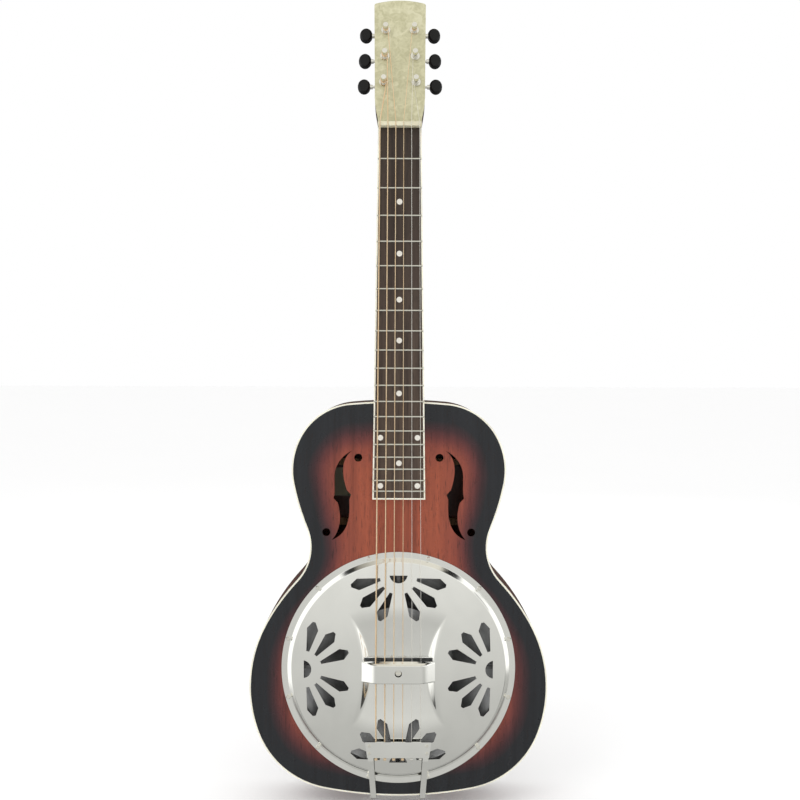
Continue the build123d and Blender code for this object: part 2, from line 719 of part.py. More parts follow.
def string_wraps(number):
    """The turns of string round the waist of the post, as many as fit, up to three."""
    x, u = post_place(number)
    diameter = STRING_DIAMETERS[number]
    count = min(3, int((WAIST_HIGH - WAIST_LOW - 0.4) / diameter))
    turns = []
    for k in range(count):
        ring = Torus(WAIST_R + diameter / 2, diameter / 2)
        turns.append(HEAD * Pos(x, u, WAIST_LOW + 0.2 + diameter * (k + 0.5)) * ring)
    return turns


# ---- strings ----
def post_touch(number):
    """Where a string meets its post, in bench coordinates."""
    side = tuner_side(number)
    x, u = post_place(number)
    radius = STRING_DIAMETERS[number] / 2
    near = Vector(x - side * (WAIST_R + radius), u - 4.2, WAIST_LOW + 0.2 + radius)
    point = HEAD * Pos(near.X, near.Y, near.Z)
    return tuple(point.position)


def guitar_string(number):
    """One taut string, from the ball in the tailpiece over saddle and nut to its post."""
    radius = STRING_DIAMETERS[number] / 2
    x_tail = string_x(number, 0) * TAIL_SPREAD
    route = [
        (x_tail, TAIL_PLATE_REAR_Y - 1.6, TAIL_PLATE_Z - TAIL_STRING_DROP),
        (string_x(number, 0), 0, TOP_Z + SADDLE_RISE + radius),
        (string_x(number, 1), SCALE + NUT_T, TOP_Z + BOARD_T + NUT_RAISE + radius),
        post_touch(number),
    ]
    start = Plane(origin=route[0], z_dir=Vector(*route[1]) - Vector(*route[0]))
    wire = sweep(start * Circle(radius), FilletPolyline(*route, radius=STRING_BEND_R))
    ball_place = Pos(x_tail, TAIL_PLATE_REAR_Y - 2.6, TAIL_PLATE_Z - TAIL_STRING_DROP)
    ball = Rot(0, 90, 0) * Cylinder(1.9, 3.4)
    return wire + ball_place * ball


# ---- tailpiece and strap button ----
def tailpiece():
    """A folded plate with a slotted lip for the ball ends, and two legs that bend over the tail."""
    front, rear = TAIL_PLATE_FRONT_Y, TAIL_PLATE_REAR_Y
    z, t = TAIL_PLATE_Z, TAIL_PLATE_T
    plate = prism([(-36.6, rear), (36.6, rear), (39.2, front), (-39.2, front)], z, z + t)
    lip = block((-30, 30), (rear, rear + t), (z - 3.9, z))
    for number, diameter in STRING_DIAMETERS.items():
        x = string_x(number, 0) * TAIL_SPREAD
        lip -= block((x - 0.9, x + 0.9), (rear - 1, rear + 3), (z - 5, z - 1.0))
    body = plate + lip
    for side in (-1, 1):
        body += tail_leg(side)
    base = block((-33, 33), (TAIL_Y - 1.8, TAIL_Y), (TOP_Z / 2 - 14, TOP_Z / 2 + 14))
    base = fillet(base.edges().filter_by(Axis.Y), 5)
    body += base
    for x in TAIL_SCREW_X:
        body -= disc_along_y(2.0, TAIL_Y - 5, TAIL_Y + 5, TOP_Z / 2, x)
    for x, y in rivet_places():
        body -= disc(1.4, z - 5, z + 5, x, y)
    return body


def tail_leg(side):
    """One flat strap: under the plate, down to the edge of the top and over it."""
    z, tail, base_z = TAIL_PLATE_Z, TAIL_Y, TOP_Z / 2 + 10
    over = [(-86.5, z), (-108, z), (tail - 1.8, TOP_Z + 2.6), (tail - 3.6, TOP_Z + 0.5), (tail - 1.8, base_z)]
    under = [(tail, base_z), (tail - 1.9, TOP_Z + 0.2), (tail + 0.4, TOP_Z + 1.2), (-107.6, z - 1.8)]
    strap = [*over, *under, (-86.5, z - 1.8)]
    sheet = side_prism(strap, -60, 60)
    top_x, tail_x = 33.6, 29.0
    plan = [
        (top_x - 3.4, -86.0),
        (top_x + 3.4, -86.0),
        (tail_x + 3.4, TAIL_Y - 6),
        (tail_x - 3.4, TAIL_Y - 6),
    ]
    return sheet & prism([(side * x, y) for x, y in plan], 0, TOP_Z + 40)


def rivet_places():
    return [(side * 34.0, y) for side in (-1, 1) for y in (-89.0, -98.0)]


def tailpiece_rivets():
    rivets = []
    low, high = TAIL_PLATE_Z - 1.8, TAIL_PLATE_Z + TAIL_PLATE_T
    for x, y in rivet_places():
        head = Pos(x, y, high) * (Sphere(2.0) & Pos(0, 0, 5) * Box(10, 10, 10))
        head -= disc(4, high + 1.1, high + 5, x, y)
        rivets.append(head + disc(1.4, low - 0.8, high, x, y))
    return rivets


def strap_button():
    """A turned button on a wood screw, standing on the tailpiece's base."""
    face = TAIL_Y - 1.8
    z = TOP_Z / 2
    button = disc_along_y(5.5, face - 1.5, face, z) + disc_along_y(4.0, face - 9.5, face - 1.5, z)
    button += disc_along_y(7.5, face - 12.0, face - 9.5, z)
    screw = disc_along_y(2.0, face, face + 16, z)
    return button + screw


def tailpiece_screws():
    face = TAIL_Y - 1.8
    screws = []
    for x in (-24, 24):
        head = Pos(x, face, TOP_Z / 2) * (Sphere(3.4) & Pos(0, -5, 0) * Box(10, 10, 10))
        head -= disc_along_y(5, face - 9, face - 1.8, TOP_Z / 2, x)
        screws.append(head + disc_along_y(2.0, face, face + 10, TOP_Z / 2, x))
    return screws


def main():
    os.makedirs("parts", exist_ok=True)
    save("body_top", body_top())
    save("body_back", body_back())
    save("body_sides", body_sides())
    save("top_binding", binding(TOP_Z - BINDING_H, TOP_Z))
    save("back_binding", binding(0, BINDING_H))
    save("linings", linings())
    save("neck_block", neck_block())
    save("tail_block", tail_block())
    save("braces", *braces())
    save("soundwell", soundwell())
    save("soundhole_label", label())
    save("cone", cone())
    save("spider", spider())
    save("saddle", saddle())
    save("tension_screw", tension_screw())
    save("coverplate", coverplate())
    save("coverplate_screws", *coverplate_screws())
    save("neck", neck())
    save("headstock_overlay", headstock_overlay())
    save("fingerboard", fingerboard())
    save("fingerboard_binding", fingerboard_binding())
    save("frets", *frets())
    save("position_dots", *position_dots())
    save("nut", nut())
    save("tailpiece", tailpiece())
    save("tailpiece_rivets", *tailpiece_rivets(), *tailpiece_screws())
    save("strap_button", strap_button())
    save("tuner_plates", *[tuner_plate(n) for n in STRING_DIAMETERS])
    save("tuner_bushings", *[tuner_bushing(n) for n in STRING_DIAMETERS])
    save("tuner_screws", *tuner_screws())
    for number in sorted(STRING_DIAMETERS):
        save(f"string_{number}", guitar_string(number))
        save(f"string_{number}_wraps", *string_wraps(number))
        save(f"tuner_{number}_post", tuner_post(number))
        save(f"tuner_{number}_worm_shaft", tuner_worm_shaft(number))
        save(f"tuner_{number}_button", tuner_button(number))


main()
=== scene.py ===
import json
import math

import bmesh
import bpy
import numpy as np
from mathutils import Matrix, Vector, kdtree
from mathutils.bvhtree import BVHTree
from mathutils.geometry import delaunay_2d_cdt

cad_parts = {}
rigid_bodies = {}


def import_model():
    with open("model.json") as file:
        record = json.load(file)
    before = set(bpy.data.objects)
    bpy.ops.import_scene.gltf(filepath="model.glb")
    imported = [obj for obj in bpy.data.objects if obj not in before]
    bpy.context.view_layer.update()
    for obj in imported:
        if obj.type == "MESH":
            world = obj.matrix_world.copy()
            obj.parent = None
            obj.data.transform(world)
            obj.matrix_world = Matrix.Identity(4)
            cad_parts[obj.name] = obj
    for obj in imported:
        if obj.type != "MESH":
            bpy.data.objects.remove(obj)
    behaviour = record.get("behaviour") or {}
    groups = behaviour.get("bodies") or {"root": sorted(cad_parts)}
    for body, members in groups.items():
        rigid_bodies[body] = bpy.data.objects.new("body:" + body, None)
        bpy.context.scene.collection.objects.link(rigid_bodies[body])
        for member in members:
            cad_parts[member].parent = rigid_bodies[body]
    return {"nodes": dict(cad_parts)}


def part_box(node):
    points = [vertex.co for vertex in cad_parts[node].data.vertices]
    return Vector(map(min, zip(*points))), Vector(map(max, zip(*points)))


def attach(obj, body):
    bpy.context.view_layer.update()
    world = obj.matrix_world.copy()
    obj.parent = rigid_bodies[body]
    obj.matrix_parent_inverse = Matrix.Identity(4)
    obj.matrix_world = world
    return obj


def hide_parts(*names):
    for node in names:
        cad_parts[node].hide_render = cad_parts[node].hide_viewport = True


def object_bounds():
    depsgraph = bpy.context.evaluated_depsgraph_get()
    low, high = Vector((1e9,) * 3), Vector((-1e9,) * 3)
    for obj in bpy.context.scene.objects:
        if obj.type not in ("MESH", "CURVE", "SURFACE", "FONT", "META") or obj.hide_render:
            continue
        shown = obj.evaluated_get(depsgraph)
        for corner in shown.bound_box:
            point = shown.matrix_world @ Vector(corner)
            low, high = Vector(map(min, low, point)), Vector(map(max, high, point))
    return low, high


# A resonator guitar with a square neck: materials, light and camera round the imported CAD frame.
# The strings face -Y and the neck points along +Z. Lengths are in metres.

for leftover in list(bpy.data.objects):
    bpy.data.objects.remove(leftover)

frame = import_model()
nodes = frame["nodes"]
cad_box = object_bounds()
scene = bpy.context.scene


# ---- node helpers ----
class Tree:
    """Short calls for building a node tree. A value that is a socket is linked, any other is set."""

    def __init__(self, tree):
        self.tree = tree
        tree.nodes.clear()

    def add(self, kind, values=None, **props):
        node = self.tree.nodes.new(kind)
        for name, value in props.items():
            setattr(node, name, value)
        for key, value in (values or {}).items():
            self.put(node.inputs[key], value)
        return node

    def put(self, socket, value):
        if isinstance(value, bpy.types.NodeSocket):
            self.tree.links.new(value, socket)
        else:
            socket.default_value = value

    def math(self, operation, a, b=0.0):
        return self.add("ShaderNodeMath", {0: a, 1: b}, operation=operation).outputs[0]

    def times(self, a, b):
        return self.math("MULTIPLY", a, b)

    def plus(self, a, b):
        return self.math("ADD", a, b)

    def parts(self, vector):
        """The x, y and z of a vector."""
        return self.add("ShaderNodeSeparateXYZ", {0: vector}).outputs

    def fit(self, value, low, high, to_low=0.0, to_high=1.0, smooth=True):
        """Maps low..high to to_low..to_high, clamped."""
        kind = "SMOOTHSTEP" if smooth else "LINEAR"
        inputs = {0: value, 1: low, 2: high, 3: to_low, 4: to_high}
        return self.add("ShaderNodeMapRange", inputs, interpolation_type=kind).outputs[0]

    def mix(self, factor, a, b, blend="MIX"):
        node = self.add("ShaderNodeMix", data_type="RGBA", blend_type=blend)
        self.put(node.inputs[0], factor)
        self.put(node.inputs[6], a)
        self.put(node.inputs[7], b)
        return node.outputs[2]

    def ramp(self, factor, stops):
        node = self.add("ShaderNodeValToRGB", {0: factor})
        elements = node.color_ramp.elements
        while len(elements) < len(stops):
            elements.new(0.5)
        for element, (place, colour) in zip(elements, stops):
            element.position = place
            element.color = (*colour, 1)
        return node.outputs[0]

    def place(self, scale=(1, 1, 1)):
        """Coordinates fixed to the piece, stretched."""
        coords = self.add("ShaderNodeTexCoord").outputs["Object"]
        return self.add("ShaderNodeMapping", {"Vector": coords, "Scale": scale}).outputs[0]

    def noise(self, vector, scale, detail=4.0, rough=0.5, warp=0.0):
        inputs = {"Vector": vector, "Scale": scale, "Detail": detail, "Roughness": rough, "Distortion": warp}
        return self.add("ShaderNodeTexNoise", inputs).outputs[0]

    def bump(self, height, distance, strength=1.0, normal=None):
        inputs = {"Height": height, "Distance": distance, "Strength": strength}
        if normal is not None:
            inputs["Normal"] = normal
        return self.add("ShaderNodeBump", inputs).outputs[0]


def material(name, values):
    """A new material with one Principled shader, and the shader's tree."""
    made = bpy.data.materials.new(name)
    made.use_nodes = True
    tree = Tree(made.node_tree)
    shader = tree.add("ShaderNodeBsdfPrincipled", values)
    output = tree.add("ShaderNodeOutputMaterial")
    tree.tree.links.new(shader.outputs[0], output.inputs[0])
    return made, tree, shader


def rgb(red, green, blue):
    """Linear colour from a display colour, 0 to 255."""
    parts = [c / 255 for c in (red, green, blue)]
    return tuple(c / 12.92 if c <= 0.04045 else ((c + 0.055) / 1.055) ** 2.4 for c in parts)


def rgba(*colour):
    return (*rgb(*colour), 1)


# ---- metals ----
TURNING_LINES = 5200.0         # radians of ripple in a metre
WINDING_TURNS = 15000.0


def plated(name, colour, roughness):
    """Polished plating: slightly uneven, with hairline wear that only the roughness shows."""
    made, t, shader = material(name, {"Metallic": 1.0, "IOR": 1.5})
    hair = t.noise(t.place((260, 900, 40)), 1.0, 6.0, 0.65)
    cloud = t.noise(t.place(), 22.0, 3.0)
    tint = t.mix(t.fit(cloud, 0.3, 0.7), rgba(*[c - 6 for c in colour]), rgba(*colour))
    t.put(shader.inputs["Base Color"], tint)
    worn = t.fit(hair, 0.45, 0.8, roughness, roughness + 0.10)
    t.put(shader.inputs["Roughness"], t.plus(worn, t.times(cloud, 0.03)))
    soft = t.bump(t.noise(t.place(), 14.0, 1.0), 0.00024, 0.35)
    t.put(shader.inputs["Normal"], t.bump(hair, 0.000006, 0.25, soft))
    return made


def cast_metal():
    """Sand-cast metal, dull and grainy."""
    made, t, shader = material("cast_aluminium_look", {"Metallic": 0.85})
    grain = t.noise(t.place(), 900.0, 3.0)
    cloud = t.noise(t.place(), 60.0, 4.0)
    t.put(shader.inputs["Base Color"], t.mix(cloud, rgba(88, 88, 90), rgba(150, 150, 150)))
    t.put(shader.inputs["Roughness"], t.fit(grain, 0.3, 0.7, 0.38, 0.55))
    t.put(shader.inputs["Normal"], t.bump(grain, 0.0002, 0.5))
    return made


def spun_metal():
    """Thin spun metal with the turning lines of its forming."""
    made, t, shader = material("spun_aluminium_look", {"Metallic": 0.95})
    x, _, z = t.parts(t.place())
    radius = t.math("SQRT", t.plus(t.times(x, x), t.times(z, z)))
    rings = t.math("SINE", t.times(radius, TURNING_LINES))
    broad = t.noise(t.add("ShaderNodeCombineXYZ", {0: radius}).outputs[0], 160.0, 3.0)
    t.put(shader.inputs["Base Color"], t.mix(broad, rgba(150, 151, 153), rgba(205, 206, 208)))
    t.put(shader.inputs["Roughness"], t.fit(broad, 0.3, 0.7, 0.28, 0.42))
    t.put(shader.inputs["Normal"], t.bump(rings, 0.00006, 0.5))
    return made


def wound_string():
    """Bronze winding: fine turns across the string."""
    made, t, shader = material("bronze_string_look", {"Metallic": 0.55})
    _, _, along = t.parts(t.place())
    turns = t.math("SINE", t.times(along, WINDING_TURNS))
    age = t.noise(t.place(), 35.0, 3.0)
    colour = t.mix(t.fit(age, 0.3, 0.7), rgba(246, 214, 170), rgba(255, 232, 196))
    gap = t.fit(turns, -1, -0.3, 0.25, 0.0)
    t.put(shader.inputs["Base Color"], t.mix(gap, colour, rgba(150, 110, 74)))
    t.put(shader.inputs["Roughness"], t.fit(age, 0.3, 0.7, 0.34, 0.44))
    t.put(shader.inputs["Normal"], t.bump(turns, 0.0001, 0.7))
    return made


# ---- woods ----
SIDES_DARK_TOP = (-0.080, -0.056)   # y between which the sides' darkening fades, behind the top
SIDES_DARK_BACK = (-0.022, -0.004)  # y between which it comes again, towards the back
BACK_PLATE = (-0.0036, -0.0030)   # y where it stops, at the back plate


def wood_grain(t, coarse=150.0, fine=1100.0):
    """(streaks, pores): long streaks up the grain and short dark pores, both 0 to 1."""
    streaks = t.noise(t.place((coarse, coarse, 5)), 1.0, 5.0, 0.6, 0.3)
    pores = t.noise(t.place((fine, fine, 70)), 1.0, 2.0, 0.5)
    return streaks, pores


def sunburst_top():
    """Mahogany under a two-colour burst. The attribute "edge" is the distance to the body's edge."""
    values = {"Specular IOR Level": 0.28, "Coat Weight": 0.2, "Coat Roughness": 0.12}
    made, t, shader = material("sunburst_top_look", values)
    streaks, pores = wood_grain(t)
    edge = t.add("ShaderNodeAttribute", attribute_name="edge").outputs["Fac"]
    drift = t.times(t.math("SUBTRACT", t.noise(t.place(), 16.0, 2.0), 0.5), 0.10)
    colour = t.ramp(t.plus(edge, drift), (
        (0.00, (0.0140, 0.0165, 0.0200)),
        (0.22, (0.0150, 0.0160, 0.0195)),
        (0.33, (0.0480, 0.0180, 0.0210)),
        (0.45, (0.1250, 0.0300, 0.0270)),
        (0.60, (0.2350, 0.0530, 0.0330)),
        (1.00, (0.3000, 0.0700, 0.0350)),
    ))
    figure = t.ramp(streaks, (
        (0.25, (0.66, 0.62, 0.60)),
        (0.50, (0.95, 0.94, 0.94)),
        (0.80, (1.26, 1.24, 1.18)),
    ))
    colour = t.mix(1.0, colour, figure, "MULTIPLY")
    pore = t.fit(pores, 0.58, 0.70)
    colour = t.mix(t.times(pore, 0.55), colour, (0.015, 0.008, 0.007, 1))
    t.put(shader.inputs["Base Color"], colour)
    t.put(shader.inputs["Roughness"], t.fit(t.noise(t.place(), 45.0, 4.0), 0.3, 0.7, 0.24, 0.34))
    relief = t.math("SUBTRACT", t.times(streaks, 0.3), pore)
    t.put(shader.inputs["Normal"], t.bump(relief, 0.00004, 0.5))
    return made


def mahogany():
    """Stained mahogany. The sides are darker towards the top and the back, the back is not."""
    made, t, shader = material("mahogany_look", {"Specular IOR Level": 0.3})
    streaks, pores = wood_grain(t)
    _, depth, _ = t.parts(t.place())
    uneven = t.plus(depth, t.times(streaks, 0.006))
    near_top = t.fit(uneven, *SIDES_DARK_TOP, 1.0, 0.0)
    near_back = t.times(t.fit(uneven, *SIDES_DARK_BACK), t.fit(depth, *BACK_PLATE, 1.0, 0.0))
    shade = t.math("MAXIMUM", near_top, near_back)
    brown = t.mix(streaks, (0.058, 0.016, 0.010, 1), (0.150, 0.042, 0.022, 1))
    brown = t.mix(shade, brown, (0.016, 0.010, 0.010, 1))
    brown = t.mix(t.fit(pores, 0.58, 0.72, 0.0, 0.5), brown, (0.010, 0.005, 0.004, 1))
    t.put(shader.inputs["Base Color"], brown)
    t.put(shader.inputs["Roughness"], t.fit(streaks, 0.3, 0.7, 0.24, 0.36))
    t.put(shader.inputs["Normal"], t.bump(pores, 0.00004, 0.4))
    return made


def plain_wood(name, dark, light, roughness, fine=1100.0, painted_shade_z=None):
    """Oiled or raw wood. The last argument is the pair of heights, z, between which a painted shade darkens
    it.
    """
    made, t, shader = material(name, {"Specular IOR Level": 0.35})
    streaks, pores = wood_grain(t, 180.0, fine)
    colour = t.mix(t.fit(streaks, 0.25, 0.75), rgba(*dark), rgba(*light))
    pore = t.fit(pores, 0.56, 0.68)
    colour = t.mix(t.times(pore, 0.5), colour, rgba(*[c * 0.45 for c in dark]))
    if painted_shade_z:
        # Painted shade: the wood darkens towards higher z.
        _, _, height = t.parts(t.place())
        darker = t.fit(height, *painted_shade_z, 0.0, 0.6, smooth=False)
        colour = t.mix(darker, colour, rgba(*[c * 0.35 for c in dark]))
    t.put(shader.inputs["Base Color"], colour)
    t.put(shader.inputs["Roughness"], t.fit(streaks, 0.3, 0.7, roughness - 0.06, roughness + 0.06))
    t.put(shader.inputs["Normal"], t.bump(t.math("SUBTRACT", streaks, pore), 0.00006, 0.5))
    return made


# ---- plastics and shell ----
def cream_plastic(name, colour, roughness=0.3):
    """Cloudy plastic or bone that lets a little light in."""
    values = {"Subsurface Weight": 0.15, "Subsurface Radius": (0.002, 0.0016, 0.001), "Subsurface Scale": 1.0}
    made, t, shader = material(name, values)
    cloud = t.noise(t.place(), 40.0, 4.0)
    dark = rgba(*[c * 0.93 for c in colour])
    t.put(shader.inputs["Base Color"], t.mix(t.fit(cloud, 0.3, 0.7), dark, rgba(*colour)))
    t.put(shader.inputs["Roughness"], t.fit(cloud, 0.3, 0.7, roughness, roughness + 0.1))
    t.put(shader.inputs["Normal"], t.bump(t.noise(t.place(), 1500.0, 2.0), 0.00002, 0.3))
    return made


def pearloid():
    """Celluloid pearl: folded, cloudy flakes under a clear skin."""
    made, t, shader = material("pearloid_look", {"Coat Weight": 0.6, "Coat Roughness": 0.08})
    warp = t.add("ShaderNodeTexNoise", {"Vector": t.place(), "Scale": 60.0, "Detail": 2.0}).outputs[1]
    bent = t.mix(0.09, t.place((1, 1, 0.75)), warp)
    inputs = {"Vector": bent, "Scale": 95.0, "Smoothness": 0.7}
    flakes = t.add("ShaderNodeTexVoronoi", inputs, feature="SMOOTH_F1").outputs[0]
    folds = t.noise(bent, 130.0, 3.0, 0.55, 1.2)
    cloud = t.plus(t.times(flakes, 0.9), t.times(folds, 0.75))
    broad = t.noise(bent, 28.0, 2.0)
    cloud = t.plus(cloud, t.fit(broad, 0.3, 0.7, -0.22, 0.22))
    colour = t.ramp(t.fit(cloud, 0.45, 1.15, smooth=False), (
        (0.00, rgb(182, 178, 141)),
        (0.35, rgb(190, 186, 150)),
        (0.70, rgb(199, 195, 159)),
        (1.00, rgb(209, 205, 172)),
    ))
    t.put(shader.inputs["Base Color"], colour)
    t.put(shader.inputs["Metallic"], t.fit(folds, 0.4, 0.8, 0.0, 0.25))
    t.put(shader.inputs["Roughness"], t.fit(cloud, 0.5, 1.1, 0.30, 0.42))
    t.put(shader.inputs["Normal"], t.bump(cloud, 0.00008, 0.25))
    return made


def pearl_dot():
    made, t, shader = material("pearl_dot_look", {"Coat Weight": 0.5, "Coat Roughness": 0.1})
    folds = t.noise(t.place(), 420.0, 3.0, 0.5, 1.5)
    t.put(shader.inputs["Base Color"], t.mix(folds, rgba(208, 204, 194), rgba(240, 236, 226)))
    t.put(shader.inputs["Roughness"], t.fit(folds, 0.3, 0.7, 0.22, 0.34))
    return made


def black_plastic():
    made, t, shader = material("black_plastic_look", {"Specular IOR Level": 0.28})
    cloud = t.noise(t.place(), 220.0, 4.0)
    t.put(shader.inputs["Base Color"], t.mix(cloud, (0.003, 0.003, 0.0035, 1), (0.007, 0.007, 0.008, 1)))
    t.put(shader.inputs["Roughness"], t.fit(cloud, 0.3, 0.7, 0.22, 0.34))
    t.put(shader.inputs["Normal"], t.bump(cloud, 0.00006, 0.3))
    return made


def paper():
    made, t, shader = material("label_look", {})
    fibre = t.noise(t.place(), 900.0, 5.0, 0.7)
    t.put(shader.inputs["Base Color"], t.mix(fibre, rgba(176, 172, 146), rgba(204, 200, 172)))
    t.put(shader.inputs["Roughness"], t.fit(fibre, 0.3, 0.7, 0.7, 0.85))
    t.put(shader.inputs["Normal"], t.bump(fibre, 0.00008, 0.4))
    return made


# ---- one look for each material slot of the record ----
NECK_SHADE = (0.20, 0.66)      # z between which a painted shade darkens the fingerboard towards the nut
LOOKS = {
    "sunburst_top": sunburst_top(),
    "mahogany": mahogany(),
    "cream_binding": cream_plastic("cream_binding_look", (246, 242, 224)),
    "inner_wood": plain_wood("inner_wood_look", (150, 112, 78), (182, 142, 104), 0.6),
    "plywood": plain_wood("plywood_look", (158, 124, 88), (190, 156, 116), 0.6),
    "label": paper(),
    "spun_aluminium": spun_metal(),
    "cast_aluminium": cast_metal(),
    "saddle_wood": plain_wood("saddle_wood_look", (182, 146, 100), (214, 180, 132), 0.45),
    "chrome_plate": plated("chrome_plate_look", (246, 246, 242), 0.10),
    "nickel": plated("nickel_look", (242, 240, 232), 0.13),
    "pearloid": pearloid(),
    "fingerboard_wood": plain_wood(
        "fingerboard_wood_look", (60, 46, 38), (92, 76, 64), 0.42, 1400.0, NECK_SHADE),
    "fret_wire": plated("fret_wire_look", (228, 226, 216), 0.20),
    "pearl_dot": pearl_dot(),
    "bone": cream_plastic("bone_look", (222, 216, 188), 0.28),
    "bronze_string": wound_string(),
    "steel_string": plated("steel_string_look", (252, 250, 244), 0.40),
    "black_plastic": black_plastic(),
}


def slot_of(node):
    """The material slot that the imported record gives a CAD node."""
    return nodes[node].data.materials[0].name.split(".")[0]


for name, piece in nodes.items():
    slot = slot_of(name)
    piece.data.materials[0] = LOOKS[slot]


# ---- the top, cut finely enough to carry the burst ----
TOP_CELL = 0.006
RIM_STEP = 0.0015              # spacing of the points that stand for the binding
SMOOTH_ANGLE = 30
BURST_WIDTH = 0.062            # how far the burst reaches from the edge, at the waist
WIDER_UP, UP_FROM, UP_OVER = 0.45, 0.17, 0.10
WIDER_DOWN, DOWN_FROM, DOWN_OVER = 0.30, 0.06, 0.08


def clamp(value):
    return min(1, max(0, value))


def burst_width(height):
    """The burst is wider at the shoulders and at the tail."""
    upper = WIDER_UP * clamp((height - UP_FROM) / UP_OVER)
    lower = WIDER_DOWN * clamp((DOWN_FROM - height) / DOWN_OVER)
    return BURST_WIDTH * (1 + upper + lower)


def edge_distances(points):
    """Distance of each point to the binding round the top."""
    mesh = nodes["top_binding"].data
    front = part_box("top_binding")[0].y + 0.0001
    samples = []
    for edge in mesh.edges:
        a, b = (mesh.vertices[i].co for i in edge.vertices)
        if a.y < front and b.y < front:
            steps = max(1, round((b - a).length / RIM_STEP))
            samples += [a.lerp(b, k / steps) for k in range(steps + 1)]
    tree = kdtree.KDTree(len(samples))
    for index, sample in enumerate(samples):
        tree.insert(Vector((sample.x, 0, sample.z)), index)
    tree.balance()
    return [tree.find(Vector((p.x, 0, p.z)))[2] for p in points]


def add_piece(name, mesh, slot, instead_of=None):
    """Puts a piece on the guitar's body, with its look, in place of a CAD node or beside it."""
    piece = bpy.data.objects.new(name, mesh)
    scene.collection.objects.link(piece)
    mesh.materials.clear()
    mesh.materials.append(LOOKS[slot])
    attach(piece, "root")
    if instead_of:
        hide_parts(instead_of)


def sliced(node, name):
    """A copy of a node's mesh, cut into cells."""
    low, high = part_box(node)
    bm = bmesh.new()
    bm.from_mesh(nodes[node].data)
    for axis in (0, 2):
        cuts = int((high[axis] - low[axis]) / TOP_CELL)
        for k in range(1, cuts + 1):
            point, normal = Vector((0, 0, 0)), Vector((0, 0, 0))
            point[axis], normal[axis] = low[axis] + TOP_CELL * k, 1
            geometry = bm.verts[:] + bm.edges[:] + bm.faces[:]
            bmesh.ops.bisect_plane(bm, geom=geometry, plane_co=point, plane_no=normal)
    for face in bm.faces:
        face.smooth = True
    mesh = bpy.data.meshes.new(name)
    bm.to_mesh(mesh)
    bm.free()
    mesh.set_sharp_from_angle(angle=math.radians(SMOOTH_ANGLE))
    return mesh


def burst_top():
    mesh = sliced("body_top", "top_plate")
    edge = mesh.attributes.new("edge", "FLOAT", "POINT")
    points = [v.co for v in mesh.vertices]
    values = [distance / burst_width(p.z) for p, distance in zip(points, edge_distances(points))]
    edge.data.foreach_set("value", np.array(values, np.float32))
    add_piece("top_plate", mesh, "sunburst_top", "body_top")


burst_top()


# ---- coverplate: pressed sheet with soft creases, and its palm rest ----
# These lengths are in millimetres. In plan, x runs to the treble side and y up the neck, from the saddle.
MM = 1000                      # millimetres in a metre
TOP_FACE = -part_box("body_top")[0].y * MM
COVER_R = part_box("coverplate")[1].x * MM
REST_RISE = -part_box("coverplate")[0].y * MM - TOP_FACE
SHEET = 1.0                    # thickness of the plate
REST_SHEET = 1.1
CROWN, DOME_EDGE, DOME_R = 14.5, 5.1, 127.3   # rises of the dome's middle and edge, and its radius
BEVEL_FOOT_R, BEVEL_SLOPE = 132.0, 0.87       # where the bevel meets the flange, and its fall per mm
CHANNEL_CENTRE, CHANNEL_R = 160.0, 116.5      # each wall of the channel is an arc in plan
WALL_SLOPE, WALL_SLOPE_LOW = 0.72, 0.42       # beside the palm rest, and towards the tail
WALL_FADE = (-60, -10)
FLOOR_RISE, FLOOR_CURVE = 7.5, 1150.0         # the channel's floor rises a little away from the middle
WALL_FOOT, WALL_TOP, BEVEL_TOP, BEVEL_FOOT = 1.0, 1.6, 0.6, 0.3   # how soft each crease is
OPENING_HALF, OPENING_LOW, OPENING_HIGH = 40.5, -14.0, 15.2       # under the palm rest
FANS_FROM = 50.0               # the fan-shaped openings are further from the middle than this
REST_Y = -1.4
REST_HALF, REST_FOOT, REST_SLOPE, REST_WIDE = 43.5, 13.0, 0.862, 11.0
REST_BEND = 6.0                # how soft the bends at its ends are
REST_ROLL, REST_HOLE = 1.0, 4.2               # radii of the rolled edges and of the hole
FLARE_FROM, FLARE_OVER, FLARE = 31, 12.5, 0.10
GRID, GRID_R = 2.5, 121.5      # the plate's points: a grid inside, rings at the bevel, arcs at the walls
RING_POINTS = 360
BEVEL_RINGS = np.arange(122.0, 134.6, 0.45)
WALL_RINGS = np.arange(-4, 17, 0.9)
WALL_ANGLES = np.arange(-44, 44.1, 0.6)
REST_ACROSS = (0.2, 0.4, 0.6, 0.75, 0.84, 0.88, 0.92, 0.96, 0.985, 1.0)  # closer towards the rolled edges


def smooth_min(a, b, k):
    """The smaller of two surfaces, blended where they are less than k apart."""
    near = np.maximum(k - np.abs(a - b), 0) / k
    return np.minimum(a, b) - near * near * k / 4


def smooth_max(a, b, k):
    return -smooth_min(-a, -b, k)


def cover_height(x, y):
    """The coverplate's face above the top: dome, hourglass channel, bevel and flange."""
    r = np.hypot(x, y)
    dome = CROWN - (CROWN - DOME_EDGE) * (r / DOME_R) ** 2
    slope = np.interp(y, WALL_FADE, (WALL_SLOPE_LOW, WALL_SLOPE))
    wall = CROWN - slope * (np.hypot(np.abs(x) - CHANNEL_CENTRE, y) - CHANNEL_R)
    carved = smooth_min(dome, smooth_max(FLOOR_RISE + y * y / FLOOR_CURVE, wall, WALL_FOOT), WALL_TOP)
    bevel = SHEET + BEVEL_SLOPE * (BEVEL_FOOT_R - r)
    return smooth_max(smooth_min(carved, bevel, BEVEL_TOP), SHEET, BEVEL_FOOT)


